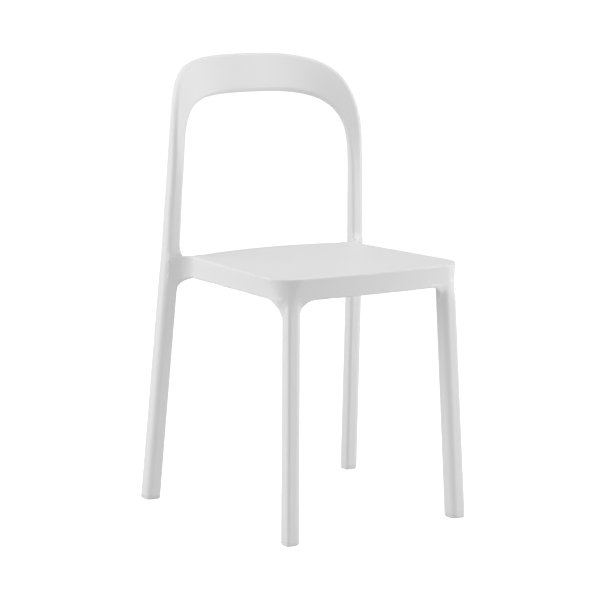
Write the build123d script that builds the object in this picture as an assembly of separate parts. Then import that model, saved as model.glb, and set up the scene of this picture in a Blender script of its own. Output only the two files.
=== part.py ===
from build123d import *
import os
from math import atan, cos, sin, sqrt

# A white one-piece moulded stacking chair: seat pan, four hollow legs and a back hoop in one
# moulding, with four push-in foot glides and four push-in stacking buffers.
# Millimetres, +Z up, the front edge of the seat towards -Y, floor at z = 0.
# The model is drawn about the middle of the foot pattern and moved at the end, so that the
# origin is the bottom centre of the whole chair.

# ---- overall sizes
OVERALL_HEIGHT = 803.0
SEAT_HEIGHT = 453.0

# ---- seat pan: the top edge flares out to the front, over a straighter lower edge
SEAT_WIDTH = 396.0           # across the front of the top edge
SEAT_TAPER = 25.0            # each rear corner is this much nearer to the middle
SEAT_FRONT = 212.0           # front edge ahead of the middle of the foot pattern
SEAT_REAR = 158.0            # rear edge behind it
SEAT_FRONT_ARC = 1500.0      # bow radius of the front edge
SEAT_REAR_ARC = 450.0        # bow radius of the rear edge
SEAT_CORNER_RADIUS = 54.0
SEAT_REAR_CORNER_RADIUS = 12.0
SKIRT_SIDE_TUCK = 15.0       # lower edge in from the top edge, at the front of each side
SKIRT_SIDE_FLARE = 2.0       # lower edge out from the top edge, at the rear of each side
SKIRT_FRONT_TUCK = 6.0
SKIRT_REAR_TUCK = 4.0
SKIRT_CORNER_RADIUS = 26.0
SEAT_PANEL = 5.0
SKIRT_DEPTH = 38.4           # seat top to the lower edge of the skirt
SKIRT_WALL = 4.5
SEAT_EDGE_ROUND = 3.0
RIB_WALL = 3.0
RIB_DEPTH = 16.0
RIBS_EACH_WAY = 4

# ---- legs: straight, splayed, tapering a little from the foot up
FRONT_LEG_INSET_X = 24.1     # leg centre in from the side of the skirt, at its lower edge
FRONT_LEG_INSET_Y = 20.9     # and behind its front
FRONT_SPLAY_X = 0.0323       # inward run per unit of height
FRONT_SPLAY_Y = 0.0411       # rearward run per unit of height
REAR_LEG_OUTSET_X = 24.9     # leg centre outside the skirt's rear corner
REAR_LEG_OUTSET_Y = 7.3      # and behind it
REAR_SPLAY_X = 0.0427
REAR_SPLAY_Y = -0.1046
LEG_WIDTH_FOOT = 29.0
LEG_WIDTH_SEAT = 28.0
LEG_OUTER_ROUND = 5.8        # corner that points away from the chair, and the one behind it
LEG_SIDE_ROUND = 11.8        # the two corners between
LEG_WALL = 5.5
LEG_CORE_MARGIN = 20.0       # the hollow core ends this far below the skirt
LEG_FILLET = 25.0            # leg to skirt
GUSSET_WALL = 6.0            # thickness of the front leg's fillets behind the skirt's face

# ---- back hoop
UPRIGHT_RUN_Y = -0.060       # the uprights lean forward above the seat
UPRIGHT_WIDTH = 26.5
UPRIGHT_THICKNESS = 24.0
RAIL_HEIGHT = 72.0
RAIL_THICKNESS = 17.0
RAIL_LEAN = 0.39             # backward run of the rail's face per unit of its height
UPRIGHT_TOP_DROP = 148.0     # the hoop leaves the straight uprights this far below the rail's middle
# Stations of the bend, from the top of the upright: in from it, behind it, below the middle
# of the rail, shares of the way from upright to rail in width and in thickness, and lean.
BEND_STATIONS = [
    (8.0, 3.8, 84.6, 0.18, 0.97, -0.50),
    (25.1, 19.2, 44.0, 0.53, 1.17, -0.36),
    (42.5, 33.1, 24.5, 0.75, 1.10, -0.14),
    (66.7, 49.5, 11.7, 0.88, 0.98, 0.16),
    (110.1, 65.3, 2.6, 0.98, 1.00, 0.36),
]
RAIL_SWEEP = 69.1            # middle of the rail behind the top of the upright
HOOP_ROUND = 6.5
HOOP_STATIONS = 25
UPRIGHT_FILLET = 18.0        # upright to seat top

# ---- neck between seat and rear leg
NECK_SWEEP = 34.0            # outer curve from the seat's side to the face of the leg
NECK_OVERLAP = 20.0          # how far the neck reaches in under the seat pan

# ---- push-in parts
GLIDE_HEIGHT = 6.0
GLIDE_EDGE = 4.0             # bevel round the sole
GLIDE_STEM = 22.0
STEM_CLEARANCE = 0.15
BUFFER_DIAMETER = 15.0
BUFFER_HEAD = 3.0            # stands this far below the skirt
BUFFER_STEM_DIAMETER = 6.0
BUFFER_STEM = 12.0
BOSS_WALL = 2.5
BUFFER_INSET_X = 27.0        # boss centre in from the side of the skirt
BUFFER_FRONT_Y = -120.0
BUFFER_REAR_Y = 62.0

SEAT_REAR_WIDTH = SEAT_WIDTH - 2 * SEAT_TAPER
SKIRT_WIDTH = SEAT_WIDTH - 2 * SKIRT_SIDE_TUCK
SKIRT_REAR_WIDTH = SEAT_REAR_WIDTH + 2 * SKIRT_SIDE_FLARE
SKIRT_FRONT = SEAT_FRONT - SKIRT_FRONT_TUCK
SKIRT_REAR = SEAT_REAR - SKIRT_REAR_TUCK
SKIRT_BOTTOM = SEAT_HEIGHT - SKIRT_DEPTH
PANEL_BOTTOM = SEAT_HEIGHT - SEAT_PANEL
RAIL_COS = cos(atan(RAIL_LEAN))
RAIL_SIN = sin(atan(RAIL_LEAN))
RAIL_MIDDLE_Z = (OVERALL_HEIGHT - HOOP_ROUND - (0.5 * RAIL_HEIGHT - HOOP_ROUND) * RAIL_COS
                 - (0.5 * RAIL_THICKNESS - HOOP_ROUND) * RAIL_SIN)
UPRIGHT_TOP = RAIL_MIDDLE_Z - UPRIGHT_TOP_DROP
LEG_CORE_TOP = SKIRT_BOTTOM - LEG_CORE_MARGIN
FAR = 600.0                  # longer than anything that it cuts


# ---------------------------------------------------------------- seat pan
def arc_bow(radius, half):
    """How far an arc falls back from its crown at half a chord to the side."""
    return radius - sqrt(radius ** 2 - half ** 2)


def plan_outline(width, rear_width, front, rear, corner, inset):
    """Face of a bowed, rounded trapezium seen from above, drawn in from its edge by inset."""
    half = 0.5 * width - inset
    rear_half = 0.5 * rear_width - inset
    front_side = arc_bow(SEAT_FRONT_ARC, half) - (front - inset)
    rear_side = rear - inset - arc_bow(SEAT_REAR_ARC, rear_half)
    with BuildSketch() as plan:
        with BuildLine():
            ThreePointArc((-half, front_side), (0, inset - front), (half, front_side))
            Line((half, front_side), (rear_half, rear_side))
            ThreePointArc((rear_half, rear_side), (0, rear - inset), (-rear_half, rear_side))
            Line((-rear_half, rear_side), (-half, front_side))
        make_face()
        corners = plan.vertices().sort_by(Axis.Y)
        fillet(corners[:2], corner - inset)
        fillet(corners[2:], SEAT_REAR_CORNER_RADIUS)
    return plan.sketch


def top_plan(inset=0.0):
    return plan_outline(SEAT_WIDTH, SEAT_REAR_WIDTH, SEAT_FRONT, SEAT_REAR, SEAT_CORNER_RADIUS, inset)


def skirt_plan(inset=0.0):
    return plan_outline(SKIRT_WIDTH, SKIRT_REAR_WIDTH, SKIRT_FRONT, SKIRT_REAR, SKIRT_CORNER_RADIUS, inset)


def slab(face, bottom, top):
    """The face stood up between two heights."""
    return extrude(Plane.XY.offset(bottom) * face, top - bottom)


def pan_block(bottom, top, inset=0.0):
    """Solid between two heights inside the seat's outer surface, drawn in by inset."""
    faces = [Plane.XY.offset(SKIRT_BOTTOM) * skirt_plan(inset), Plane.XY.offset(SEAT_HEIGHT) * top_plan(inset)]
    block = loft(faces, ruled=True)
    return block & span(-FAR, FAR, -FAR, FAR, bottom, top)


def seat_pan():
    """Panel with its skirt, open underneath, with the outer top edge rounded."""
    outer = pan_block(SKIRT_BOTTOM, SEAT_HEIGHT)
    outer = fillet(outer.faces().sort_by(Axis.Z)[-1].edges(), SEAT_EDGE_ROUND)
    return outer - pan_block(SKIRT_BOTTOM, PANEL_BOTTOM, SKIRT_WALL)


def seat_ribs():
    """Crossed ribs under the panel, inside the skirt."""
    length = SEAT_FRONT + SEAT_REAR
    top = SEAT_HEIGHT - 1.0
    bars = []
    for step in range(1, RIBS_EACH_WAY + 1):
        share = step / (RIBS_EACH_WAY + 1)
        across = Box(FAR, RIB_WALL, RIB_DEPTH + SEAT_PANEL)
        along = Box(RIB_WALL, FAR, RIB_DEPTH + SEAT_PANEL)
        height = top - 0.5 * (RIB_DEPTH + SEAT_PANEL)
        bars.append(Pos(0, share * length - SEAT_FRONT, height) * across)
        bars.append(Pos((share - 0.5) * SEAT_WIDTH, 0, height) * along)
    grid = bars[0].fuse(*bars[1:])
    return grid & pan_block(SKIRT_BOTTOM, top, 0.5 * SKIRT_WALL)


# ---------------------------------------------------------------- legs
class Leg:
    """One leg on the +X side: where it meets the skirt's lower edge, its splay and its section."""

    def __init__(self, top_x, top_y, splay_x, splay_y):
        self.top_x = top_x
        self.top_y = top_y
        self.splay_x = splay_x
        self.splay_y = splay_y
        self.facing = 1 if top_y > 0 else -1

    def width(self, z):
        return LEG_WIDTH_FOOT + (LEG_WIDTH_SEAT - LEG_WIDTH_FOOT) * z / SEAT_HEIGHT

    def centre(self, z):
        below = SKIRT_BOTTOM - z
        return self.top_x + self.splay_x * below, self.top_y - self.splay_y * below

    def section(self, z, inset=0.0):
        """Rounded square at a height; the two corners on the chair's diagonal are the sharper."""
        half = 0.5 * self.width(z) - inset
        outer = max(LEG_OUTER_ROUND - inset, 1.5)
        side = max(LEG_SIDE_ROUND - inset, 2.0)
        x, y = self.centre(z)
        with BuildSketch(Plane.XY.offset(z)) as sketch:
            with Locations((x, y)):
                Rectangle(2 * half, 2 * half)
            slants = {True: outer, False: side}
            for sharp, radius in slants.items():
                corners = [v for v in sketch.vertices()
                           if abs(abs(v.X - x) - half) + abs(abs(v.Y - y) - half) < 0.01
                           and ((v.X - x) * (v.Y - y) * self.facing > 0) is sharp]
                fillet(corners, radius)
        return sketch.sketch

    def column(self, bottom, top, inset=0.0):
        return loft([self.section(bottom, inset), self.section(top, inset)], ruled=True)


FRONT_LEG = Leg(
    0.5 * SKIRT_WIDTH - FRONT_LEG_INSET_X, FRONT_LEG_INSET_Y - SKIRT_FRONT, FRONT_SPLAY_X, FRONT_SPLAY_Y)
REAR_LEG = Leg(
    0.5 * SKIRT_REAR_WIDTH + REAR_LEG_OUTSET_X, SKIRT_REAR + REAR_LEG_OUTSET_Y, REAR_SPLAY_X, REAR_SPLAY_Y)


# ---------------------------------------------------------------- back hoop
def hoop_path():
    """Centre line of the hoop from the seat on the +X side over to the -X side."""
    foot_x, foot_y = REAR_LEG.centre(SKIRT_BOTTOM)
    seat_x, seat_y = REAR_LEG.centre(SEAT_HEIGHT)
    top_x, _ = REAR_LEG.centre(UPRIGHT_TOP)
    top_y = seat_y + UPRIGHT_RUN_Y * (UPRIGHT_TOP - SEAT_HEIGHT)
    half = [
        (foot_x, foot_y, SKIRT_BOTTOM),
        (0.5 * (seat_x + top_x), 0.5 * (seat_y + top_y), 0.5 * (SEAT_HEIGHT + UPRIGHT_TOP)),
        (top_x, top_y, UPRIGHT_TOP),
    ]
    half += [(top_x - inward, top_y + sweep, RAIL_MIDDLE_Z - drop) for inward, sweep, drop, *_ in BEND_STATIONS]
    middle = [(0, top_y + RAIL_SWEEP, RAIL_MIDDLE_Z)]
    other = [(-x, y, z) for x, y, z in reversed(half)]
    start = Vector(*half[1]) - Vector(*half[0])
    return Spline(*(half + middle + other), tangents=[start, Vector(start.X, -start.Y, -start.Z)])


def bend_value(z, column, low, high):
    """A station value at a height, between its value on the upright and on the rail."""
    heights = [UPRIGHT_TOP] + [RAIL_MIDDLE_Z - station[2] for station in BEND_STATIONS] + [RAIL_MIDDLE_Z]
    values = [low] + [station[column] for station in BEND_STATIONS] + [high]
    if z <= UPRIGHT_TOP:
        return low
    for i in range(1, len(heights)):
        if z <= heights[i]:
            share = (z - heights[i - 1]) / (heights[i] - heights[i - 1])
            return values[i - 1] + (values[i] - values[i - 1]) * share
    return high


def hoop_section(path, share_along):
    """Rounded section square to the path: slender on the uprights, tall and thin at the rail."""
    point = path @ share_along
    tangent = path % share_along
    width = UPRIGHT_WIDTH + (RAIL_HEIGHT - UPRIGHT_WIDTH) * bend_value(point.Z, 3, 0.0, 1.0)
    thinning = (UPRIGHT_THICKNESS - RAIL_THICKNESS) * bend_value(point.Z, 4, 0.0, 1.0)
    thickness = UPRIGHT_THICKNESS - thinning
    outward = Vector(tangent.Z, bend_value(point.Z, 5, 0.0, RAIL_LEAN), -tangent.X)
    outward = (outward - tangent * outward.dot(tangent)).normalized()
    plane = Plane(origin=point, x_dir=outward, z_dir=tangent)
    return plane * RectangleRounded(width, thickness, min(HOOP_ROUND, 0.45 * thickness))


def hoop():
    path = hoop_path()
    last = HOOP_STATIONS - 1
    return loft([hoop_section(path, i / last) for i in range(HOOP_STATIONS)])


# ---------------------------------------------------------------- necks and fillets
def neck_plan():
    """Face seen from above that joins the seat's rear corner to the +X rear leg."""
    x, y = REAR_LEG.centre(SEAT_HEIGHT)
    half = 0.5 * UPRIGHT_WIDTH
    front_face = y - 0.5 * UPRIGHT_THICKNESS
    start_y = front_face - NECK_SWEEP
    side = 0.5 * SEAT_REAR_WIDTH
    inside = side - NECK_OVERLAP
    rear_edge = (inside, SEAT_REAR - arc_bow(SEAT_REAR_ARC, inside) - 1.0)
    with BuildSketch() as plan:
        with BuildLine():
            outer = TangentArc((side, start_y), (x + half - 1.0, front_face), tangent=(0, 1))
            Polyline(outer @ 1, (x + half - 1.0, y), (x - half, y))
            inner = TangentArc((x - half, y), rear_edge, tangent=(0, -1))
            Polyline(inner @ 1, (inside, start_y), (side, start_y))
        make_face()
    return plan.sketch


def quarter_cut(radius, level, offset, axis):
    """Cylinder that leaves a quarter-round when taken from a gusset; axis is the wall's own run."""
    turn = Rot(0, 90, 0) if axis == "x" else Rot(90, 0, 0)
    place = Pos(0, offset, level) if axis == "x" else Pos(offset, 0, level)
    return place * turn * Cylinder(radius, FAR)


def span(x0, x1, y0, y1, z0, z1):
    """Upright box between two corners."""
    size = (abs(x1 - x0), abs(y1 - y0), abs(z1 - z0))
    return Pos(0.5 * (x0 + x1), 0.5 * (y0 + y1), 0.5 * (z0 + z1)) * Box(*size)


def front_leg_fillets():
    """Quarter-round gussets where the +X front leg runs into the front and side skirts."""
    low = SKIRT_BOTTOM - LEG_FILLET
    x, y = FRONT_LEG.centre(SKIRT_BOTTOM)
    half = 0.5 * FRONT_LEG.width(SKIRT_BOTTOM)
    ring = slab(skirt_plan() - skirt_plan(GUSSET_WALL), low, SKIRT_BOTTOM + 1.0)
    front = ring & span(x - half - LEG_FILLET, x, y - FAR, y + half, low, SEAT_HEIGHT)
    side = ring & span(x - half, x + FAR, y, y + half + LEG_FILLET, low, SEAT_HEIGHT)
    front -= quarter_cut(LEG_FILLET, low, x - half - LEG_FILLET, "y")
    side -= quarter_cut(LEG_FILLET, low, y + half + LEG_FILLET, "x")
    return [front, side]


def rear_leg_fillets():
    """Gussets before the +X rear leg, below the neck and, for the upright, above it."""
    low = SKIRT_BOTTOM - LEG_FILLET
    high = SEAT_HEIGHT + UPRIGHT_FILLET
    _, leg_y = REAR_LEG.centre(low)
    leg_face = leg_y - 0.5 * REAR_LEG.width(low)
    _, upright_y = REAR_LEG.centre(SEAT_HEIGHT)
    upright_face = upright_y - 0.5 * UPRIGHT_THICKNESS
    below = slab(neck_plan(), low, SKIRT_BOTTOM + 1.0)
    below &= span(0, FAR, leg_face - LEG_FILLET, FAR, low, SEAT_HEIGHT)
    below -= quarter_cut(LEG_FILLET, low, leg_face - LEG_FILLET, "x")
    above = slab(neck_plan(), SEAT_HEIGHT - 1.0, high)
    x, _ = REAR_LEG.centre(SEAT_HEIGHT)
    above &= span(x - 0.5 * UPRIGHT_WIDTH, FAR, upright_face - UPRIGHT_FILLET, FAR, SKIRT_BOTTOM, high)
    above -= quarter_cut(UPRIGHT_FILLET, high, upright_face - UPRIGHT_FILLET, "x")
    return [below, above]


# ---------------------------------------------------------------- push-in parts
def buffer_places():
    """Centre of each +X buffer, front then rear."""
    x = 0.5 * SKIRT_REAR_WIDTH - BUFFER_INSET_X
    return [(x, BUFFER_FRONT_Y), (x, BUFFER_REAR_Y)]


def boss(place):
    """Round post from the panel down to the skirt's lower edge."""
    height = PANEL_BOTTOM + 1.0 - SKIRT_BOTTOM
    radius = 0.5 * BUFFER_STEM_DIAMETER + STEM_CLEARANCE + BOSS_WALL
    return Pos(*place, SKIRT_BOTTOM + 0.5 * height) * Cylinder(radius, height)


def boss_bore(place):
    depth = BUFFER_STEM + 1.0
    radius = 0.5 * BUFFER_STEM_DIAMETER + STEM_CLEARANCE
    return Pos(*place, SKIRT_BOTTOM + 0.5 * depth) * Cylinder(radius, depth)


def stacking_buffer(place):
    """Domed rubber button with a stem that pushes up into its boss."""
    head = Pos(*place, SKIRT_BOTTOM - 0.5 * BUFFER_HEAD) * Cylinder(0.5 * BUFFER_DIAMETER, BUFFER_HEAD)
    head = fillet(head.edges().group_by(Axis.Z)[0], 0.4 * BUFFER_HEAD)
    stem = Pos(*place, SKIRT_BOTTOM + 0.5 * BUFFER_STEM) * Cylinder(0.5 * BUFFER_STEM_DIAMETER, BUFFER_STEM)
    return head + stem


def glide(leg):
    """Foot pad that continues the leg to the floor, with a stem up its hollow core."""
    rim = [leg.section(0, GLIDE_EDGE), leg.section(GLIDE_EDGE), leg.section(GLIDE_HEIGHT)]
    pad = loft(rim, ruled=True)
    stem = leg.column(GLIDE_HEIGHT, GLIDE_HEIGHT + GLIDE_STEM, LEG_WALL + STEM_CLEARANCE)
    return pad + stem


# ---------------------------------------------------------------- the moulding
def moulded_frame():
    """Seat pan, legs, necks and hoop as one moulding, with its cores and bosses."""
    side_parts = [FRONT_LEG.column(GLIDE_HEIGHT, PANEL_BOTTOM + 1.0)]
    side_parts += [REAR_LEG.column(GLIDE_HEIGHT, SEAT_HEIGHT - SEAT_PANEL)]
    side_parts += [slab(neck_plan(), SKIRT_BOTTOM, SEAT_HEIGHT)]
    side_parts += front_leg_fillets() + rear_leg_fillets()
    side_parts += [boss(place) for place in buffer_places()]
    body = seat_pan() + seat_ribs() + hoop()
    for piece in both_sides(side_parts):
        body += piece
    cuts = [leg.column(GLIDE_HEIGHT, LEG_CORE_TOP, LEG_WALL) for leg in (FRONT_LEG, REAR_LEG)]
    cuts += [boss_bore(place) for place in buffer_places()]
    for cut in both_sides(cuts):
        body -= cut
    return body


def both_sides(parts):
    """The parts and their mirror images across the chair's middle plane."""
    return parts + [mirror(part, about=Plane.YZ) for part in parts]


def build_parts():
    """Every node by name, with the origin at the bottom centre of the whole chair."""
    nodes = {"moulded_frame": moulded_frame()}
    for end, leg, place in zip(("front", "rear"), (FRONT_LEG, REAR_LEG), buffer_places()):
        for kind, piece in (("glide", glide(leg)), ("buffer", stacking_buffer(place))):
            nodes[f"{end}_right_{kind}"] = mirror(piece, about=Plane.YZ)
            nodes[f"{end}_left_{kind}"] = piece
    boxes = [piece.bounding_box() for piece in nodes.values()]
    shift = Pos(0, -0.5 * (min(box.min.Y for box in boxes) + max(box.max.Y for box in boxes)), 0)
    return {name: shift * piece for name, piece in nodes.items()}


def main():
    os.makedirs("parts", exist_ok=True)
    for name, piece in build_parts().items():
        export_step(piece, f"parts/{name}.step")
        print(name, len(piece.solids()), "solid(s)", round(piece.volume), "mm3")


if __name__ == "__main__":
    main()
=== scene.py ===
import logging
import math
from dataclasses import dataclass
from enum import Enum
from typing import Callable

import bmesh
import bpy
import numpy as np
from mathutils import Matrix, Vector


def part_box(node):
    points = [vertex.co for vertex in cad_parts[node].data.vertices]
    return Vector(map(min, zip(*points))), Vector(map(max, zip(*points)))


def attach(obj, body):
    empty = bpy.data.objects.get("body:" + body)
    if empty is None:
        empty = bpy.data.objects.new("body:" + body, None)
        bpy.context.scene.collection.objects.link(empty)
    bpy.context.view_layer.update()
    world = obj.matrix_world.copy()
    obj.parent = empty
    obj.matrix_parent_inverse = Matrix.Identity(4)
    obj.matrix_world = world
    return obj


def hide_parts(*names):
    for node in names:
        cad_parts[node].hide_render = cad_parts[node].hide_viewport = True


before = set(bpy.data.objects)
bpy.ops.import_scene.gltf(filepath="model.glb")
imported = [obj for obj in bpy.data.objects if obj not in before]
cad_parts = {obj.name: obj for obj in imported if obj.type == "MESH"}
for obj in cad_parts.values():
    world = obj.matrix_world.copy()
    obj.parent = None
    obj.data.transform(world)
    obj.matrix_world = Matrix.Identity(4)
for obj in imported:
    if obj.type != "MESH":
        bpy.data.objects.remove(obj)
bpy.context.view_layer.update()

LOG = logging.getLogger("stacking_chair")
Array = np.ndarray
Field = Callable[[Array, Array, Array], Array]
Place = tuple[float, float, float]
Span = tuple[float, float, float]    # first, end and spacing of some grid planes
WHITE = (1.0, 1.0, 1.0, 1.0)
Materials = dict["Finish", bpy.types.Material]

# Sizes are in millimetres, measured about the middle of the foot pattern, and each mesh is
# brought to metres in the part's own frame when it is made.
MM = 0.001
FRONT_BUFFER_Y = -120.0      # buffers stand this far from the middle of the foot pattern
REAR_BUFFER_Y = 62.0
FEET_MIDDLE_Y = sum(c.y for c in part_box("front_left_buffer")) / (2.0 * MM) - FRONT_BUFFER_Y

OUTSIDE = 60.0               # a distance that stands for well outside a shape
WITHIN = -100.0              # and one for well inside it
BATCH = 40000                # points looked up at a time
LAST_STEP = 1.001            # keeps a place short of the last sample

# How a net is drawn onto its surface, in millimetres.
PULL_STEP = 0.2              # over which the slope is read while the net is evened out
DRAW_STEP = 0.05             # and while its vertices are drawn in
SHADE_STEP = 0.35            # and for the shading directions
PULL_SHARE = 0.5             # part of the way to a vertex's neighbours in one round
LEAST_SLOPE = 0.3            # flatter slopes count as this
LEAST_SQUARE = 0.25          # and their squares as this
LONGEST_MOVE = 1.5
TINY = 1e-6

SIDES = (("left", 1), ("right", -1))


class Finish(Enum):
    """The three finishes of the chair, by the record's slot names."""

    FRAME = "frame_plastic"
    GLIDE = "glide_plastic"
    BUFFER = "buffer_rubber"


# ---------------------------------------------------------------- joining rules for fields
def join(a: Array, b: Array, radius: float) -> Array:
    """Union of two fields whose inner corner is a round fillet.

    Args:
        a: Signed distances to the first shape, negative inside.
        b: Signed distances to the second shape.
        radius: Fillet radius.

    Returns:
        Signed distances to the joined shape.
    """
    near_a = np.maximum(radius - a, 0.0)
    near_b = np.maximum(radius - b, 0.0)
    return np.maximum(radius, np.minimum(a, b)) - np.sqrt(near_a**2 + near_b**2)


def keep(a: Array, b: Array, radius: float) -> Array:
    """Overlap of two fields whose outer edge is rounded.

    Args:
        a: Signed distances to the first shape, negative inside.
        b: Signed distances to the second shape.
        radius: Edge radius.

    Returns:
        Signed distances to what both shapes hold.
    """
    over_a = np.maximum(radius + a, 0.0)
    over_b = np.maximum(radius + b, 0.0)
    return np.minimum(-radius, np.maximum(a, b)) + np.sqrt(over_a**2 + over_b**2)


def rounded_box(u: Array, v: Array, half_u: Array, half_v: Array, crisp: Array,
                soft: Array) -> Array:
    """Signed distance to a rounded rectangle in its own plane.

    Args:
        u: Distance along the rectangle's first side, from its middle.
        v: Distance along its second side.
        half_u: Half of the first side.
        half_v: Half of the second side.
        crisp: Radius of the two corners where u and v have the same sign.
        soft: Radius of the other two.

    Returns:
        Signed distances, negative inside.
    """
    radius = np.where(u * v > 0.0, crisp, soft)
    du = np.abs(u) - half_u + radius
    dv = np.abs(v) - half_v + radius
    outside = np.sqrt(np.maximum(du, 0.0) ** 2 + np.maximum(dv, 0.0) ** 2)
    return outside + np.minimum(np.maximum(du, dv), 0.0) - radius


def fade(distance: Array, run: float) -> Array:
    """Share from 0 at a gusset's root to 1 where it runs out, level at both ends."""
    share = np.clip(distance / run, 0.0, 1.0)
    return share * share * (3.0 - 2.0 * share)


# ---------------------------------------------------------------- the shapes of the moulding
@dataclass(frozen=True)
class Outline:
    """A bowed, rounded trapezium seen from above."""

    width: float
    rear_width: float
    front: float
    rear: float
    corner: float
    rear_corner: float = 12.0
    front_arc: float = 1500.0
    rear_arc: float = 450.0

    def mixed(self, other: "Outline", share: Array) -> tuple[Array, ...]:
        """Sizes part of the way from this outline to another.

        Args:
            other: The outline reached at share 1.
            share: How far along, from 0 to 1.

        Returns:
            Half widths at the front and rear, front, rear and corner radius.
        """
        pairs = [
            (0.5 * self.width, 0.5 * other.width),
            (0.5 * self.rear_width, 0.5 * other.rear_width),
            (self.front, other.front),
            (self.rear, other.rear),
            (self.corner, other.corner),
        ]
        return tuple(low + (high - low) * share for low, high in pairs)


@dataclass(frozen=True)
class SeatPan:
    """Flat seat panel with a skirt that flares out towards its front corners."""

    top: float = 453.0
    depth: float = 38.4
    panel: float = 5.0
    wall: float = 4.5
    edge_round: float = 3.2
    lip_round: float = 1.0
    inner_round: float = 2.5
    flare_start: float = 385.0
    rim: Outline = Outline(396.0, 346.0, 212.0, 158.0, 54.0)
    root: Outline = Outline(360.0, 351.0, 204.5, 153.0, 19.0)

    @property
    def bottom(self) -> float:
        """Height of the skirt's lower edge."""
        return self.top - self.depth

    def plan(self, x: Array, y: Array, z: Array) -> Array:
        """Signed distance to the seat's outer outline at each height, seen from above."""
        share = np.clip((z - self.flare_start) / (self.top - self.flare_start), 0.0, 1.0) ** 2
        half, rear_half, front, rear, corner = self.root.mixed(self.rim, share)
        front_arc, rear_arc = self.rim.front_arc, self.rim.rear_arc
        front_side = front_arc - np.sqrt(front_arc**2 - half**2) - front
        rear_side = rear - rear_arc + np.sqrt(rear_arc**2 - rear_half**2)
        run_x, run_y = rear_half - half, rear_side - front_side
        run = np.sqrt(run_x**2 + run_y**2)
        side = ((np.abs(x) - half) * run_y - (y - front_side) * run_x) / run
        before = np.sqrt(x**2 + (y - front_arc + front) ** 2) - front_arc
        behind = np.sqrt(x**2 + (y - rear + rear_arc) ** 2) - rear_arc
        return keep(keep(before, side, corner), behind, self.rim.rear_corner)

    def field(self, x: Array, y: Array, z: Array) -> Array:
        """Signed distance to the pan with its open underside."""
        plan = self.plan(x, y, z)
        block = keep(plan, z - self.top, self.edge_round)
        block = keep(block, self.bottom - z, self.lip_round)
        hollow = keep(plan + self.wall, z - self.top + self.panel, self.inner_round)
        return keep(block, -hollow, self.lip_round)


@dataclass(frozen=True)
class LegShape:
    """A straight splayed leg on either side, with a rounded square section."""

    x: float                 # centre at the level below
    y: float
    splay_x: float
    splay_y: float
    level: float = 415.5
    foot_width: float = 29.0
    seat_width: float = 28.0
    crisp: float = 5.8       # corner towards the chair's diagonal, and the one behind it
    soft: float = 11.8       # the two corners between
    foot: float = 6.0        # the glide takes over below this height
    foot_round: float = 0.6
    head: float = 448.0

    def centre(self, z: Array) -> tuple[Array, Array]:
        """Centre of the section at each height."""
        below = self.level - z
        return self.x + self.splay_x * below, self.y - self.splay_y * below

    def half(self, z: Array) -> Array:
        """Half of the section's width at each height."""
        share = np.clip(z / self.level, 0.0, 1.0)
        return 0.5 * (self.foot_width + (self.seat_width - self.foot_width) * share)

    def section(self, x: Array, y: Array, z: Array) -> Array:
        """Signed distance to the section at each height, seen from above."""
        centre_x, centre_y = self.centre(z)
        half = self.half(z)
        facing = math.copysign(1.0, self.y)
        u, v = np.abs(x) - centre_x, facing * (y - centre_y)
        return rounded_box(u, v, half, half, self.crisp, self.soft)

    def field(self, x: Array, y: Array, z: Array) -> Array:
        """Signed distance to the leg."""
        column = np.maximum(self.section(x, y, z), z - self.head)
        return keep(column, self.foot - z, self.foot_round)


FRONT_LEG = LegShape(158.9, -185.1, 0.0323, 0.0411)
REAR_LEG = LegShape(199.9, 161.3, 0.0427, -0.1046)


@dataclass(frozen=True)
class Station:
    """One section of the hoop: its centre, its size and how far its top leans back."""

    x: float
    y: float
    z: float
    width: float
    depth: float
    lean: float = 0.0
    crisp: float = 6.0
    soft: float = 10.0

    def row(self, side: int = 1) -> tuple[float, ...]:
        """The station's values, mirrored across the chair where side is -1."""
        place = (side * self.x, self.y, self.z)
        return (*place, self.width, self.depth, self.lean, self.crisp, self.soft)


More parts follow.
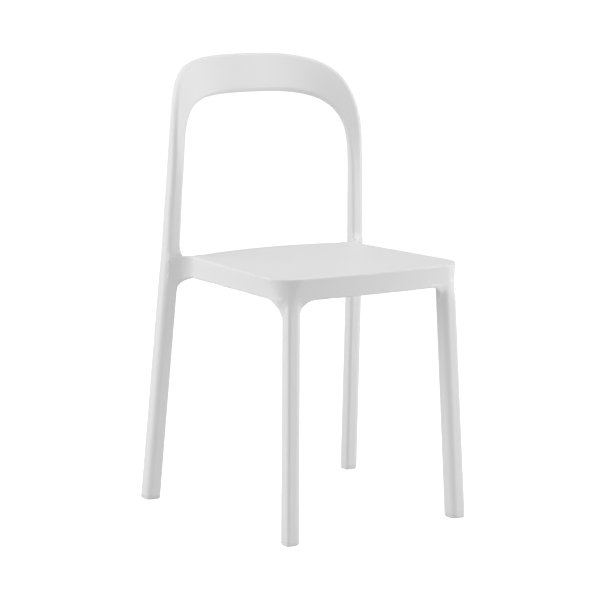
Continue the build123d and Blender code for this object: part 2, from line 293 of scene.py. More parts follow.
@dataclass(frozen=True)
class HoopShape:
    """The uprights and the back rail as one swept bar, drawn for the half at +x."""

    start: float = 400.0             # inside the rear leg
    shoulder: tuple[Station, ...] = (
        Station(198.3, 157.4, 453.0, 27.4, 26.6, 0.0, 6.0, 11.2),
        Station(194.7, 152.4, 536.5, 26.5, 24.5, 0.0, 6.0, 10.0),
        Station(190.6, 147.6, 620.0, 26.6, 21.8, -0.20, 6.0, 9.0),
        Station(182.9, 151.4, 682.6, 35.6, 17.4, -0.48, 6.0, 7.5),
        Station(166.0, 166.8, 723.3, 51.6, 16.0, -0.34, 6.0, 7.0),
        Station(148.8, 180.7, 743.0, 62.0, 16.5, -0.12, 6.0, 7.0),
        Station(124.7, 197.1, 755.9, 68.2, 17.1, 0.17, 6.5, 7.0),
        Station(80.3, 212.9, 764.9, 71.8, 17.0, 0.36, 6.5, 7.0),
    )
    rail: Station = Station(0.0, 216.7, 767.9, 72.6, 17.0, 0.39, 6.5, 7.0)
    samples: int = 240
    overrun: float = 12.0            # the samples go this far past the middle

    def rows(self) -> Array:
        """Values of every station from one seat joint over to the other."""
        start_x, start_y = REAR_LEG.centre(self.start)
        wide = REAR_LEG.seat_width
        corners = (REAR_LEG.crisp, REAR_LEG.soft)
        half = (Station(start_x, start_y, self.start, wide, wide, 0.0, *corners), *self.shoulder)
        mirrored = [station.row(-1) for station in half[::-1]]
        return np.array([station.row() for station in half] + [self.rail.row()] + mirrored)

    def line(self) -> dict[str, Array]:
        """Even samples of the smooth bar through the stations, a little past the middle.

        Returns:
            Centre, axes and sizes of the bar's section at each sample.
        """
        rows = self.rows()
        steps = np.linalg.norm(np.diff(rows[:, :3], axis=0), axis=1)
        knots = np.concatenate([[0.0], np.cumsum(steps)])
        count = len(rows)
        system, right = np.zeros((count, count)), np.zeros(rows.shape)
        slopes = np.diff(rows, axis=0) / steps[:, None]
        for i in range(1, count - 1):
            system[i, i - 1], system[i, i + 1] = steps[i], steps[i - 1]
            system[i, i] = 2.0 * (steps[i - 1] + steps[i])
            right[i] = 3.0 * (steps[i] * slopes[i - 1] + steps[i - 1] * slopes[i])
        system[0, 0] = system[-1, -1] = 1.0
        right[0], right[-1] = slopes[0], slopes[-1]
        rates = np.linalg.solve(system, right)
        along = np.linspace(0.0, 0.5 * knots[-1] + self.overrun, self.samples)
        span = np.clip(np.searchsorted(knots, along, side="right") - 1, 0, count - 2)
        t = ((along - knots[span]) / steps[span])[:, None]
        rate_0 = rates[span] * steps[span][:, None]
        rate_1 = rates[span + 1] * steps[span][:, None]
        values = (2 * t**3 - 3 * t**2 + 1) * rows[span] + (t**3 - 2 * t**2 + t) * rate_0
        values += (3 * t**2 - 2 * t**3) * rows[span + 1] + (t**3 - t**2) * rate_1
        centres = values[:, :3]
        tangents = np.gradient(centres, axis=0)
        tangents /= np.linalg.norm(tangents, axis=1)[:, None]
        outward = np.stack([tangents[:, 2], values[:, 5], -tangents[:, 0]], axis=1)
        outward -= tangents * np.sum(outward * tangents, axis=1)[:, None]
        outward /= np.linalg.norm(outward, axis=1)[:, None]
        return {
            "centre": centres,
            "tangent": tangents,
            "outward": outward,
            "through": np.cross(tangents, outward),
            "half_width": 0.5 * values[:, 3],
            "half_depth": 0.5 * values[:, 4],
            "crisp": values[:, 6],
            "soft": values[:, 7],
        }

    def field(self, x: Array, y: Array, z: Array) -> Array:
        """Signed distance to the bar, by the section nearest to each point."""
        line = self.line()
        points = np.stack([np.abs(x).ravel(), y.ravel(), z.ravel()], axis=1)
        centres = line["centre"]
        nearest = np.empty(len(points), dtype=np.int64)
        for low in range(0, len(points), BATCH):
            part = points[low:low + BATCH]
            apart = np.sum(centres**2, axis=1)[None, :] - 2.0 * part @ centres.T
            nearest[low:low + BATCH] = np.argmin(apart, axis=1)
        nearest = np.clip(nearest, 1, len(centres) - 2)
        offset = np.sum((points - centres[nearest]) * line["tangent"][nearest], axis=1)
        pace = np.linalg.norm(centres[1] - centres[0])
        place = np.clip(nearest + offset / pace, 0.0, len(centres) - LAST_STEP)
        low_index = place.astype(np.int64)
        share = place - low_index

        def read(name: str) -> Array:
            """Value of the line between its two nearest samples."""
            values = line[name]
            mix = share[:, None] if values.ndim == 2 else share
            return values[low_index] * (1.0 - mix) + values[low_index + 1] * mix

        away = points - read("centre")
        u = np.sum(away * read("outward"), axis=1)
        v = np.sum(away * read("through"), axis=1)
        sizes = [read(name) for name in ("half_width", "half_depth", "crisp", "soft")]
        distance = rounded_box(u, v, *sizes)
        ends = np.where(place <= 0.0, -np.sum(away * read("tangent"), axis=1), WITHIN)
        return np.maximum(distance, ends).reshape(x.shape)


@dataclass(frozen=True)
class NeckShape:
    """The short arm from the seat's rear corner to the rear leg, and its fillets."""

    outer_sweep: float = 34.0
    inner_sweep: float = 26.0
    start_x: float = 173.4           # where the outer curve leaves the seat's side
    inside_x: float = 150.0          # the arm reaches in under the seat to here
    overlap: float = 1.0             # of the arm into the leg
    lower_round: float = 1.6
    low_fillet: float = 26.0
    high_fillet: float = 18.0
    reach: float = 5.0               # the rounds draw in this far where they run out
    root: float = 6.0                # of the rounds into the arm
    round_edge: float = 2.0
    upright_face: float = 12.6       # ahead of the upright's middle at the seat
    upright_side: float = 13.2
    upright_lean: float = 0.06

    def plan(self, x: Array, y: Array, z: Array) -> Array:
        """Signed distance to the arm's outline, seen from above."""
        side = np.abs(x)
        centre_x, centre_y = REAR_LEG.centre(z)
        half = REAR_LEG.half(z)
        face = centre_y - half + self.overlap
        outer_x, outer_y = self.start_x + self.outer_sweep, face - self.outer_sweep
        outer = self.outer_sweep - np.sqrt((side - outer_x) ** 2 + (y - outer_y) ** 2)
        inner_x = centre_x - half - self.inner_sweep
        inner = self.inner_sweep - np.sqrt((side - inner_x) ** 2 + (y - centre_y) ** 2)
        box_x = np.maximum(self.inside_x - side, side - outer_x)
        box = np.maximum(box_x, np.maximum(outer_y - y, y - centre_y))
        return np.maximum(np.maximum(box, outer), inner)

    def arm(self, x: Array, y: Array, z: Array, pan: SeatPan) -> Array:
        """Signed distance to the arm itself."""
        plan = self.plan(x, y, z)
        return keep(keep(plan, z - pan.top, pan.edge_round), pan.bottom - z, self.lower_round)

    def gussets(self, x: Array, y: Array, z: Array, pan: SeatPan) -> Array:
        """Signed distance to the rounds below the arm and above it."""
        plan = self.plan(x, y, z)
        _, leg_y = REAR_LEG.centre(z)
        leg_face = leg_y - REAR_LEG.half(z)
        low = pan.bottom - self.low_fillet
        below = self.low_fillet - np.sqrt((y - leg_face + self.low_fillet) ** 2 + (z - low) ** 2)
        below = np.maximum(np.maximum(below, low - z), z - pan.bottom - self.root)
        below = np.maximum(below, leg_face - self.low_fillet - y)
        _, seat_y = REAR_LEG.centre(pan.top)
        face = seat_y - self.upright_face - self.upright_lean * (z - pan.top)
        high = pan.top + self.high_fillet
        above = self.high_fillet - np.sqrt((y - face + self.high_fillet) ** 2 + (z - high) ** 2)
        above = np.maximum(np.maximum(above, z - high), pan.top - self.root - z)
        centre_x, _ = REAR_LEG.centre(z)
        beyond = np.maximum(face - self.high_fillet - y, centre_x - self.upright_side - np.abs(x))
        above = np.maximum(above, beyond)
        run_out = fade(pan.bottom - z, self.low_fillet) + fade(z - pan.top, self.high_fillet)
        return keep(np.minimum(below, above), plan + self.reach * run_out, self.round_edge)


@dataclass(frozen=True)
class FrontCornerShape:
    """How a front leg runs into the skirt, with a round on both sides."""

    fillet: float = 25.0
    thickness: float = 5.5
    reach: float = 7.2               # the rounds draw in from the skirt's face to the leg's
    root: float = 4.0                # of the leg and its rounds into the skirt
    proud: float = 1.0               # of the leg past the skirt's face
    merge_slope: float = 0.35
    merge_round: float = 6.0
    round_edge: float = 1.5
    blend: float = 5.0

    def field(self, x: Array, y: Array, z: Array, pan: SeatPan) -> Array:
        """Signed distance to the front leg with its rounds."""
        plan = pan.plan(x, y, z)
        merge = plan - self.merge_slope * np.maximum(pan.bottom + self.root - z, 0.0)
        leg = keep(FRONT_LEG.field(x, y, z), merge - self.proud, self.merge_round)
        centre_x, centre_y = FRONT_LEG.centre(z)
        half = FRONT_LEG.half(z)
        low = pan.bottom - self.fillet
        drawn_in = plan + self.reach * fade(pan.bottom - z, self.fillet)
        ring = np.maximum(drawn_in, -drawn_in - self.thickness)
        ring = np.maximum(ring, np.maximum(low - z, z - pan.bottom - self.root))
        inner_face = centre_x - half
        side = np.abs(x)
        front = self.fillet - np.sqrt((side - inner_face + self.fillet) ** 2 + (z - low) ** 2)
        front = np.maximum(front, np.maximum(inner_face - self.fillet - side, y - centre_y))
        rear_face = centre_y + half
        flank = self.fillet - np.sqrt((y - rear_face - self.fillet) ** 2 + (z - low) ** 2)
        flank = np.maximum(flank, np.maximum(y - rear_face - self.fillet, centre_x - side))
        return join(leg, keep(ring, np.minimum(front, flank), self.round_edge), self.blend)


@dataclass(frozen=True)
class Moulding:
    """The whole white moulding as one field and one closed mesh."""

    pan: SeatPan = SeatPan()
    neck: NeckShape = NeckShape()
    front_corner: FrontCornerShape = FrontCornerShape()
    hoop: HoopShape = HoopShape()
    boss_radius: float = 5.65
    boss_x: float = 148.0
    boss_root: float = 2.0           # of the posts into the panel, from the seat's top
    boss_blend: float = 1.5
    corner_blend: float = 2.0
    gusset_blend: float = 3.0
    arm_blend: float = 1.6
    seat_blend: float = 4.0
    leg_root: float = 20.0           # of the rear leg into the hoop
    hoop_front: float = 90.0         # no part of the hoop is ahead of this
    hoop_margin: float = 4.0
    x_planes: tuple[Span, ...] = ((0.0, 128.0, 5.2), (130.0, 242.0, 2.6))
    y_planes: tuple[Span, ...] = (
        (-226.0, -158.0, 2.6), (-156.0, 104.0, 5.2), (106.0, 246.0, 2.6))
    z_planes: tuple[Span, ...] = (
        (2.2, 12.0, 1.4), (16.0, 370.0, 6.0), (372.0, 484.0, 2.3), (486.0, 616.0, 4.5),
        (618.0, 816.0, 3.0))

    def bosses(self, x: Array, y: Array, z: Array) -> Array:
        """Signed distance to the round posts that hold the stacking buffers."""
        side = np.abs(x) - self.boss_x
        nearest = np.minimum((y - FRONT_BUFFER_Y) ** 2, (y - REAR_BUFFER_Y) ** 2)
        post = np.sqrt(side**2 + nearest) - self.boss_radius
        return np.maximum(post, np.maximum(self.pan.bottom - z, z - self.pan.top + self.boss_root))

    def field(self, x: Array, y: Array, z: Array) -> Array:
        """Signed distance to the moulding at any points.

        Args:
            x: Places across the chair.
            y: Places along it.
            z: Heights.

        Returns:
            Signed distances, negative in the plastic.
        """
        pan = join(self.pan.field(x, y, z), self.bosses(x, y, z), self.boss_blend)
        body = join(pan, self.front_corner.field(x, y, z, self.pan), self.corner_blend)
        rear = np.maximum(REAR_LEG.field(x, y, z), z - self.hoop.start - self.leg_root)
        bar = np.full(body.shape, OUTSIDE)
        near = (z > self.hoop.start - self.hoop_margin) & (y > self.hoop_front)
        near = np.broadcast_to(near, body.shape)
        bar[near] = self.hoop.field(*[np.broadcast_to(a, body.shape)[near] for a in (x, y, z)])
        rear = np.minimum(rear, bar)
        rear = join(rear, self.neck.gussets(x, y, z, self.pan), self.gusset_blend)
        rear = join(rear, self.neck.arm(x, y, z, self.pan), self.arm_blend)
        return join(body, rear, self.seat_blend)

    def mesh(self) -> tuple[Array, Array, Array]:
        """Vertices, four-sided faces and outward directions of the moulding's surface."""
        half, along_y, along_z = (
            np.concatenate([np.arange(*span) for span in spans])
            for spans in (self.x_planes, self.y_planes, self.z_planes))
        values = self.field(half[:, None, None], along_y[None, :, None], along_z[None, None, :])
        values = np.concatenate([values[:0:-1], values], axis=0)
        along_x = np.concatenate([-half[:0:-1], half])
        points, faces = surface_net(values, (along_x, along_y, along_z))
        return settle(self.field, points, faces)


# ---------------------------------------------------------------- from a field to a mesh
def surface_net(values: Array, planes: tuple[Array, Array, Array]) -> tuple[Array, Array]:
    """Closed net of four-sided faces where a sampled field changes sign.

    Args:
        values: Signed distances on the grid.
        planes: The grid's plane positions along x, y and z.

    Returns:
        Vertex positions and faces, wound to point outwards.
    """
    inside = values < 0.0
    shape = tuple(n - 1 for n in values.shape)
    count = np.zeros(shape, dtype=np.int8)
    steps = [(i, j, k) for i in (0, 1) for j in (0, 1) for k in (0, 1)]
    for i, j, k in steps:
        count += inside[i:i + shape[0], j:j + shape[1], k:k + shape[2]]
    cells = np.argwhere((count > 0) & (count < 8))
    number = np.full(shape, -1, dtype=np.int64)
    number[tuple(cells.T)] = np.arange(len(cells))
    total = np.zeros((len(cells), 3))
    crossings = np.zeros(len(cells))
    for first in steps:
        for axis in range(3):
            if first[axis] == 1:
                continue
            second = tuple(1 if n == axis else v for n, v in enumerate(first))
            a, b = cells + np.array(first), cells + np.array(second)
            value_a, value_b = values[tuple(a.T)], values[tuple(b.T)]
            cross = (value_a < 0.0) != (value_b < 0.0)
            share = np.where(cross, value_a / np.where(cross, value_a - value_b, 1.0), 0.0)
            spot = np.stack([planes[n][a[:, n]] for n in range(3)], axis=1)
            spot[:, axis] += share * (planes[axis][b[:, axis]] - planes[axis][a[:, axis]])
            total += spot * cross[:, None]
            crossings += cross
    points = total / crossings[:, None]
    faces = []
    for axis in range(3):
        side_a, side_b = (axis + 1) % 3, (axis + 2) % 3
        low = [slice(None)] * 3
        high = [slice(None)] * 3
        low[axis], high[axis] = slice(0, -1), slice(1, None)
        start, end = inside[tuple(low)], inside[tuple(high)]
        edges = np.argwhere(start != end)
        leaving = start[tuple(edges.T)]
        ring = []
        for step_a, step_b in ((-1, -1), (0, -1), (0, 0), (-1, 0)):
            cell = edges.copy()
            cell[:, side_a] += step_a
            cell[:, side_b] += step_b
            ring.append(number[tuple(cell.T)])
        quad = np.stack(ring, axis=1)
        faces.append(np.where(leaving[:, None], quad, quad[:, ::-1]))
    return points, np.concatenate(faces)


def slope(field: Field, points: Array, step: float) -> Array:
    """Direction and rate in which a field grows, at each point."""
    columns = []
    for axis in range(3):
        shift = np.zeros(3)
        shift[axis] = step
        ahead, back = points + shift, points - shift
        columns.append((field(*ahead.T) - field(*back.T)) / (2.0 * step))
    return np.stack(columns, axis=1)


def settle(field: Field, points: Array, faces: Array,
           rounds: int = 3) -> tuple[Array, Array, Array]:
    """Evens out a net and draws its vertices onto the surface.

    Args:
        field: The signed distance to the shape.
        points: Vertices near the surface.
        faces: Four-sided faces.
        rounds: How many times the net is evened out.

    Returns:
        Vertices on the surface, the same faces, and outward unit directions.
    """
    starts, ends = faces.ravel(), np.roll(faces, -1, axis=1).ravel()
    links = np.bincount(starts, minlength=len(points)) + np.bincount(ends, minlength=len(points))
    for turn in range(rounds):
        if turn:
            near = np.zeros_like(points)
            for axis in range(3):
                near[:, axis] += np.bincount(starts, points[ends, axis], len(points))
                near[:, axis] += np.bincount(ends, points[starts, axis], len(points))
            pull = near / links[:, None] - points
            facing = slope(field, points, PULL_STEP)
            facing /= np.maximum(np.linalg.norm(facing, axis=1), LEAST_SLOPE)[:, None]
            along = pull - facing * np.sum(pull * facing, axis=1)[:, None]
            points = points + PULL_SHARE * along
        for _ in range(2):
            grade = slope(field, points, DRAW_STEP)
            size = np.maximum(np.sum(grade**2, axis=1), LEAST_SQUARE)
            move = grade * (field(*points.T) / size)[:, None]
            far = np.maximum(np.linalg.norm(move, axis=1) / LONGEST_MOVE, 1.0)
            points = points - move / far[:, None]
    facing = slope(field, points, SHADE_STEP)
    return points, faces, facing / np.maximum(np.linalg.norm(facing, axis=1), TINY)[:, None]


def to_part(points: Array) -> Array:
    """Points in millimetres about the feet, as metres in the part's frame."""
    return (points + np.array([0.0, FEET_MIDDLE_Y, 0.0])) * MM


def new_piece(name: str, points: Array, faces: list,
              facing: Array | None = None) -> bpy.types.Object:
    """A mesh object at the origin from vertices in the part's frame.

    Args:
        name: The piece's name.
        points: Vertices in metres.
        faces: Faces as lists of vertex numbers.
        facing: Outward direction of each vertex, when the shading follows it.

    Returns:
        The new object.
    """
    mesh = bpy.data.meshes.new(name)
    mesh.from_pydata([tuple(p) for p in points], [], [tuple(int(i) for i in f) for f in faces])
    mesh.validate()
    mesh.shade_smooth()
    if facing is not None:
        mesh.normals_split_custom_set_from_vertices([tuple(n) for n in facing])
    piece = bpy.data.objects.new(name, mesh)
    bpy.context.scene.collection.objects.link(piece)
    return piece


def walls(rows: int, count: int) -> list[list[int]]:
    """Four-sided faces between rows of vertices that each close on themselves."""
    faces = []
    for low in range(0, (rows - 1) * count, count):
        high = low + count
        for n in range(count):
            m = (n + 1) % count
            faces.append([low + n, low + m, high + m, high + n])
    return faces


# ---------------------------------------------------------------- finishes
@dataclass(frozen=True)
class Plastic:
    """Moulded plastic or rubber with a fine eroded grain."""

    slot: Finish
    colour: tuple[float, float, float]
    roughness: float
    grain_size: float            # metres across one grain
    grain_depth: float           # metres
    specular: float = 0.5
    grain_detail: float = 3.0
    grain_contrast: float = 0.6
    bump_strength: float = 0.35
    cloud_scale: float = 9.0     # broad, faint unevenness of the colour
    cloud_detail: float = 2.0
    cloud_tint: float = 0.985
    polish_spread: float = 0.05

    def material(self) -> bpy.types.Material:
        """The finish as a procedural material on Object coordinates."""
        material = bpy.data.materials.new(self.slot.value)
        material.use_nodes = True
        nodes, links = material.node_tree.nodes, material.node_tree.links
        shader = nodes["Principled BSDF"]
        shader.inputs["Specular IOR Level"].default_value = self.specular
        place = nodes.new("ShaderNodeTexCoord")
        grain = nodes.new("ShaderNodeTexNoise")
        grain.inputs["Scale"].default_value = 1.0 / self.grain_size
        grain.inputs["Detail"].default_value = self.grain_detail
        grain.inputs["Roughness"].default_value = self.grain_contrast
        cloud = nodes.new("ShaderNodeTexNoise")
        cloud.inputs["Scale"].default_value = self.cloud_scale
        cloud.inputs["Detail"].default_value = self.cloud_detail
        links.new(place.outputs["Object"], grain.inputs["Vector"])
        links.new(place.outputs["Object"], cloud.inputs["Vector"])
        tint = nodes.new("ShaderNodeMix")
        tint.data_type = "RGBA"
        tint.inputs["A"].default_value = (*[c * self.cloud_tint for c in self.colour], 1.0)
        tint.inputs["B"].default_value = (*self.colour, 1.0)
        links.new(cloud.outputs["Fac"], tint.inputs["Factor"])
        links.new(tint.outputs["Result"], shader.inputs["Base Color"])
        polish = nodes.new("ShaderNodeMapRange")
        polish.inputs["To Min"].default_value = self.roughness - self.polish_spread
        polish.inputs["To Max"].default_value = self.roughness + self.polish_spread
        links.new(grain.outputs["Fac"], polish.inputs["Value"])
        links.new(polish.outputs["Result"], shader.inputs["Roughness"])
        bump = nodes.new("ShaderNodeBump")
        bump.inputs["Strength"].default_value = self.bump_strength
        bump.inputs["Distance"].default_value = self.grain_depth
        links.new(grain.outputs["Fac"], bump.inputs["Height"])
        links.new(bump.outputs["Normal"], shader.inputs["Normal"])
        return material


FINISHES = {
    Finish.FRAME: Plastic(Finish.FRAME, (0.80, 0.80, 0.80), 0.46, 0.0011, 0.00003),
    Finish.GLIDE: Plastic(Finish.GLIDE, (0.78, 0.78, 0.78), 0.40, 0.0020, 0.00002),
    Finish.BUFFER: Plastic(Finish.BUFFER, (0.62, 0.62, 0.61), 0.75, 0.0009, 0.00004, 0.35),
}


def dress(piece: bpy.types.Object, finish: Finish, replaced: tuple[str, ...],
          materials: Materials) -> None:
    """Gives a piece its finish and ties it to the frame.

    Args:
        piece: The finished piece.
        finish: Its finish.
        replaced: The CAD nodes it stands for.
        materials: The material of each finish.
    """
    piece.data.materials.clear()
    piece.data.materials.append(materials[finish])
    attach(piece, "root")
    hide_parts(*replaced)
    LOG.info("%s: %d faces", piece.name, len(piece.data.polygons))


# ---------------------------------------------------------------- sub-assemblies
@dataclass
class Glides:
    """Push-in foot glides that carry on each leg's section down to a rounded sole."""

    height: float = 6.0
    sole_round: float = 4.0
    seam: float = 0.35           # depth of the parting line under the leg
    seam_slope: float = 0.5      # height of the bevel into the line
    tuck: float = 0.4            # the pad goes this far up into the leg
    least_corner: float = 0.8
    corner_points: int = 12
    round_steps: int = 7

    def levels(self) -> list[tuple[float, float]]:
        """Height and inset of each loop, from the sole up into the parting line."""
        levels = []
        for step in range(self.round_steps + 1):
            angle = 0.5 * math.pi * step / self.round_steps
            levels.append((self.sole_round * (1.0 - math.cos(angle)),
                           self.sole_round * (1.0 - math.sin(angle))))
        levels.append((self.height - self.seam_slope, 0.0))
        return levels + [(self.height, self.seam), (self.height + self.tuck, self.seam)]

    def loop(self, leg: LegShape, side: int, z: float, inset: float) -> Array:
        """One loop of the glide's outline at a height."""
        half = float(leg.half(np.array(z))) - inset
        facing = math.copysign(1.0, leg.y)
        centre_x, centre_y = leg.centre(z)
        loop = []
        for quarter, (out_x, out_y) in enumerate(((1, 1), (-1, 1), (-1, -1), (1, -1))):
            corner = leg.crisp if out_x * out_y * facing > 0 else leg.soft
            corner = max(corner - inset, self.least_corner)
            for step in range(self.corner_points):
                angle = 0.5 * math.pi * (quarter + step / (self.corner_points - 1))
                x = centre_x + out_x * (half - corner) + corner * math.cos(angle)
                y = centre_y + out_y * (half - corner) + corner * math.sin(angle)
                loop.append((side * x, y, z))
        return np.array(loop if side > 0 else loop[::-1])

    def build(self, materials: Materials) -> None:
        """Makes and dresses the four glides."""
        count = 4 * self.corner_points
        levels = self.levels()
        faces = [list(range(count))[::-1]] + walls(len(levels), count)
        faces.append([(len(levels) - 1) * count + n for n in range(count)])
        for end, leg in (("front", FRONT_LEG), ("rear", REAR_LEG)):
            for name, side in SIDES:
                loops = [self.loop(leg, side, z, inset) for z, inset in levels]
                points = to_part(np.concatenate(loops))
                piece = new_piece(f"{end}_{name}_foot_glide", points, faces)
                dress(piece, Finish.GLIDE, (f"{end}_{name}_glide",), materials)


@dataclass
class Buffers:
    """Domed rubber buttons under the seat that keep stacked chairs apart."""

    radius: float = 7.5
    head: float = 3.0
    dome: float = 2.4
    dome_steps: int = 8
    stem_radius: float = 3.0
    stem: float = 12.0
    chamfer: float = 1.0
    tip: float = 0.001           # radius of the rings that are welded into the poles
    segments: int = 40

    def profile(self, level: float) -> list[tuple[float, float]]:
        """Radius and height of the button's outline, from its tip to the top of its stem."""
        points = [(self.tip, level - self.head)]
        for step in range(1, self.dome_steps + 1):
            angle = 0.5 * math.pi * step / self.dome_steps
            points.append((self.radius - self.dome + self.dome * math.sin(angle),
                           level - self.head + self.dome * (1.0 - math.cos(angle))))
        top = level + self.stem
        points += [(self.radius, level), (self.stem_radius, level)]
        points += [(self.stem_radius, top - self.chamfer), (self.stem_radius - self.chamfer, top)]
        return points + [(self.tip, top)]

    def build(self, moulding: Moulding, materials: Materials) -> None:
        """Makes and dresses the four buffers."""
        rows = self.profile(moulding.pan.bottom)
        faces = walls(len(rows), self.segments)
        angles = [2.0 * math.pi * n / self.segments for n in range(self.segments)]
        for end, y in (("front", FRONT_BUFFER_Y), ("rear", REAR_BUFFER_Y)):
            for name, side in SIDES:
                x = side * moulding.boss_x
                points = [(x + radius * math.cos(angle), y + radius * math.sin(angle), z)
                          for radius, z in rows for angle in angles]
                points = to_part(np.array(points))
                piece = new_piece(f"{end}_{name}_stacking_buffer", points, faces)
                close_poles(piece.data)
                dress(piece, Finish.BUFFER, (f"{end}_{name}_buffer",), materials)


def close_poles(mesh: bpy.types.Mesh) -> None:
    """Welds the tiny rings at a turned shape's ends and points its faces outwards."""
    work = bmesh.new()
    work.from_mesh(mesh)
    bmesh.ops.remove_doubles(work, verts=work.verts, dist=0.01 * MM)
    bmesh.ops.recalc_face_normals(work, faces=work.faces)
    work.to_mesh(mesh)
    work.free()


@dataclass
class SeatRibs:
    """Crossed stiffening ribs under the seat panel, laid out by a node tree."""

    each_way: int = 4
    wall: float = 3.0
    depth: float = 16.0
    root: float = 1.0                # of the ribs into the panel
    side_gap: float = 2.2            # skirt walls left clear of the ribs across, as a multiple
    end_gap: float = 1.8             # and of the ribs along
    short: float = 2.0               # shorter than that by this

    def tree(self) -> bpy.types.NodeTree:
        """Node tree that spreads straight bars along one axis and cuts each to its length."""
        tree = bpy.data.node_groups.new("seat_ribs", "GeometryNodeTree")
        face = tree.interface
        face.new_socket("Geometry", in_out="OUTPUT", socket_type="NodeSocketGeometry")
        face.new_socket("Count", in_out="INPUT", socket_type="NodeSocketInt")
        for label in ("First", "Spacing", "Wall", "Depth", "Length", "Taper", "Bow", "Shift",
                      "Shift Bow", "Turn", "Top"):
            face.new_socket(label, in_out="INPUT", socket_type="NodeSocketFloat")
        face.new_socket("Finish", in_out="INPUT", socket_type="NodeSocketMaterial")
        nodes, links = tree.nodes, tree.links
        given = nodes.new("NodeGroupInput")
        result = nodes.new("NodeGroupOutput")

        def feed(node: bpy.types.Node, values: tuple[object, ...]) -> bpy.types.NodeSocket:
            """Gives a node its inputs, which are sockets or numbers; returns its output."""
            for socket, value in zip(node.inputs, values):
                if isinstance(value, bpy.types.NodeSocket):
                    links.new(value, socket)
                else:
                    socket.default_value = value
            return node.outputs[0]

        def maths(operation: str, *values: object) -> bpy.types.NodeSocket:
            """One arithmetic node."""
            node = nodes.new("ShaderNodeMath")
            node.operation = operation
            return feed(node, values)

        def triple(*values: object) -> bpy.types.NodeSocket:
            """A vector from three values."""
            return feed(nodes.new("ShaderNodeCombineXYZ"), values)

        line = nodes.new("GeometryNodeMeshLine")
        links.new(given.outputs["Count"], line.inputs["Count"])
        index = nodes.new("GeometryNodeInputIndex").outputs[0]
        value = given.outputs
        place = maths("ADD", value["First"], maths("MULTIPLY", index, value["Spacing"]))
        square = maths("MULTIPLY", place, place)
        length = maths("ADD", value["Length"], maths("MULTIPLY", place, value["Taper"]))
        length = maths("SUBTRACT", length, maths("MULTIPLY", square, value["Bow"]))
        middle = maths("ADD", value["Shift"], maths("MULTIPLY", square, value["Shift Bow"]))
        height = maths("SUBTRACT", value["Top"], maths("MULTIPLY", value["Depth"], 0.5))
        moved = nodes.new("GeometryNodeSetPosition")
        links.new(line.outputs["Mesh"], moved.inputs["Geometry"])
        links.new(triple(middle, place, height), moved.inputs["Position"])
        bar = nodes.new("GeometryNodeMeshCube")
        links.new(triple(1.0, given.outputs["Wall"], given.outputs["Depth"]), bar.inputs["Size"])
        spread = nodes.new("GeometryNodeInstanceOnPoints")
        links.new(moved.outputs["Geometry"], spread.inputs["Points"])
        links.new(bar.outputs["Mesh"], spread.inputs["Instance"])
        links.new(triple(length, 1.0, 1.0), spread.inputs["Scale"])
        turned = nodes.new("GeometryNodeTransform")
        links.new(spread.outputs["Instances"], turned.inputs["Geometry"])
        links.new(triple(0.0, 0.0, given.outputs["Turn"]), turned.inputs["Rotation"])
        real = nodes.new("GeometryNodeRealizeInstances")
        links.new(turned.outputs["Geometry"], real.inputs["Geometry"])
        painted = nodes.new("GeometryNodeSetMaterial")
        links.new(real.outputs["Geometry"], painted.inputs["Geometry"])
        links.new(given.outputs["Finish"], painted.inputs["Material"])
        links.new(painted.outputs["Geometry"], result.inputs["Geometry"])
        return tree

    def bars(self, name: str, tree: bpy.types.NodeTree,
             values: dict[str, object]) -> bpy.types.Object:
        """One set of parallel ribs as a plain mesh.

        Args:
            name: The piece's name.
            tree: The node tree.
            values: The tree's inputs by name, in metres.

        Returns:
            The piece, with nothing live on it.
        """
        holder = new_piece(name + "_plan", np.zeros((0, 3)), [])
        modifier = holder.modifiers.new("ribs", "NODES")
        modifier.node_group = tree
        sockets = {item.name: item.identifier for item in tree.interface.items_tree
                   if item.in_out == "INPUT"}
        for label, value in values.items():
            modifier[sockets[label]] = value
        depsgraph = bpy.context.evaluated_depsgraph_get()
        mesh = bpy.data.meshes.new_from_object(holder.evaluated_get(depsgraph))
        bpy.data.objects.remove(holder)
        piece = bpy.data.objects.new(name, mesh)
        bpy.context.scene.collection.objects.link(piece)
        return piece

    def build(self, pan: SeatPan, materials: Materials) -> None:
        """Makes and dresses the ribs across the seat and along it."""
        tree = self.tree()
        rim = pan.rim
        share = 1.0 / (self.each_way + 1)
        span = rim.front + rim.rear
        taper = (rim.rear_width - rim.width) / span
        middle_width = rim.width + taper * (rim.front - FEET_MIDDLE_Y)
        middle_y = 0.5 * (rim.rear - rim.front) + 0.5 * self.short + FEET_MIDDLE_Y
        front_bend, rear_bend = 0.5 / (rim.front_arc * MM), 0.5 / (rim.rear_arc * MM)
        shared = {
            "Count": self.each_way,
            "Wall": self.wall * MM,
            "Depth": self.depth * MM,
            "Top": (pan.top - pan.panel + self.root) * MM,
            "Finish": materials[Finish.FRAME],
        }
        across = {
            "First": (share * span - rim.front + FEET_MIDDLE_Y) * MM,
            "Spacing": share * span * MM,
            "Length": (middle_width - self.side_gap * pan.wall - self.short) * MM,
            "Taper": 0.5 * taper,
            "Bow": 0.0,
            "Shift": 0.0,
            "Shift Bow": 0.0,
            "Turn": 0.0,
        }
        along = {
            "First": (share - 0.5) * rim.width * MM,
            "Spacing": share * rim.width * MM,
            "Length": (span - self.end_gap * pan.wall - self.short) * MM,
            "Taper": 0.0,
            "Bow": front_bend + rear_bend,
            "Shift": middle_y * MM,
            "Shift Bow": 0.5 * (front_bend - rear_bend),
            "Turn": 0.5 * math.pi,
        }
        for name, values in (("ribs_across_seat", across), ("ribs_along_seat", along)):
            piece = self.bars(name, tree, {**shared, **values})
            dress(piece, Finish.FRAME, ("moulded_frame",), materials)


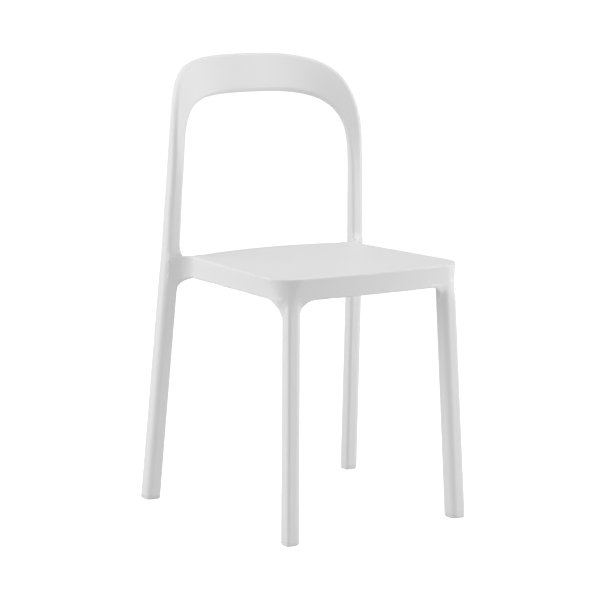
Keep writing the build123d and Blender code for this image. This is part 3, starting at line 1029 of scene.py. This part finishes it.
# ---------------------------------------------------------------- studio
@dataclass
class Studio:
    """Pale floor, soft lights and the camera."""

    focal: float = 138.12                # millimetres
    sensor: float = 36.0
    turn: float = -32.5                  # degrees round from the front
    dip: float = 9.41                    # degrees below level
    eye: Place = (-2187.1, -3395.8, 1045.5)
    sight: float = 200.0                 # metres to where the view ends
    aim: Place = (0.0, 0.0, 0.45)        # where the lights look, in metres
    # Name, place and size in metres, and watts of each light.
    lights: tuple[tuple[str, Place, float, float], ...] = (
        ("left_softbox", (-2.8, 1.2, 1.4), 2.4, 44.0),
        ("right_softbox", (3.0, -1.7, 1.1), 2.2, 27.0),
        ("near_right_softbox", (1.1, -0.75, 0.6), 0.9, 3.6),
        ("top_softbox", (0.0, -0.2, 2.8), 1.8, 21.5),
    )
    ambient: float = 0.485
    floor_half: float = 30.0             # metres
    floor_grey: float = 0.80
    floor_roughness: float = 0.9
    floor_specular: float = 0.1
    floor_glow: float = 0.72             # lifts the floor to the surround's white

    def light(self, name: str, place: Place, size: float, power: float) -> None:
        """One square soft light that looks at the middle of the chair."""
        data = bpy.data.lights.new(name, "AREA")
        data.shape = "SQUARE"
        data.size = size
        data.energy = power
        lamp = bpy.data.objects.new(name, data)
        lamp.location = place
        aim = Vector(self.aim) - Vector(place)
        lamp.rotation_euler = aim.to_track_quat("-Z", "Y").to_euler()
        bpy.context.scene.collection.objects.link(lamp)

    def world(self) -> None:
        """White surround, dimmer as a light than it looks."""
        world = bpy.data.worlds.new("studio")
        world.use_nodes = True
        nodes, links = world.node_tree.nodes, world.node_tree.links
        seen = nodes.new("ShaderNodeLightPath")
        level = nodes.new("ShaderNodeMapRange")
        level.inputs["To Min"].default_value = self.ambient
        level.inputs["To Max"].default_value = 1.0
        links.new(seen.outputs["Is Camera Ray"], level.inputs["Value"])
        links.new(level.outputs["Result"], nodes["Background"].inputs["Strength"])
        nodes["Background"].inputs["Color"].default_value = WHITE
        bpy.context.scene.world = world

    def floor(self) -> None:
        """Wide pale floor under the chair."""
        corners = np.array([(-1, -1, 0), (1, -1, 0), (1, 1, 0), (-1, 1, 0)]) * self.floor_half
        floor = new_piece("studio_floor", corners, [[0, 1, 2, 3]])
        material = bpy.data.materials.new("pale_floor")
        material.use_nodes = True
        nodes, links = material.node_tree.nodes, material.node_tree.links
        shader = nodes["Principled BSDF"]
        shader.inputs["Base Color"].default_value = (*[self.floor_grey] * 3, 1.0)
        shader.inputs["Roughness"].default_value = self.floor_roughness
        shader.inputs["Specular IOR Level"].default_value = self.floor_specular
        shader.inputs["Emission Color"].default_value = WHITE
        seen = nodes.new("ShaderNodeLightPath")
        glow = nodes.new("ShaderNodeMath")
        glow.operation = "MULTIPLY"
        glow.inputs[1].default_value = self.floor_glow
        links.new(seen.outputs["Is Camera Ray"], glow.inputs[0])
        links.new(glow.outputs[0], shader.inputs["Emission Strength"])
        floor.data.materials.append(material)

    def camera(self) -> None:
        """Camera at the front left of the chair, a little above the seat."""
        data = bpy.data.cameras.new("camera")
        data.sensor_width = self.sensor
        data.lens = self.focal
        data.clip_end = self.sight
        camera = bpy.data.objects.new("camera", data)
        camera.location = to_part(np.array(self.eye)).tolist()
        camera.rotation_euler = (math.radians(90.0 - self.dip), 0.0, math.radians(self.turn))
        bpy.context.scene.collection.objects.link(camera)
        bpy.context.scene.camera = camera

    def build(self) -> None:
        """Sets up the floor, surround, lights and camera."""
        bpy.context.scene.view_settings.view_transform = "Standard"
        self.world()
        self.floor()
        for name, place, size, power in self.lights:
            self.light(name, place, size, power)
        self.camera()


def main() -> None:
    """Builds the chair around the frame, then the studio."""
    logging.basicConfig(level=logging.INFO, format="%(name)s: %(message)s")
    materials = {finish: plastic.material() for finish, plastic in FINISHES.items()}
    moulding = Moulding()
    points, faces, facing = moulding.mesh()
    shell = new_piece("chair_moulding", to_part(points), faces.tolist(), facing)
    dress(shell, Finish.FRAME, ("moulded_frame",), materials)
    SeatRibs().build(moulding.pan, materials)
    Glides().build(materials)
    Buffers().build(moulding, materials)
    Studio().build()


if __name__ == "__main__":
    main()
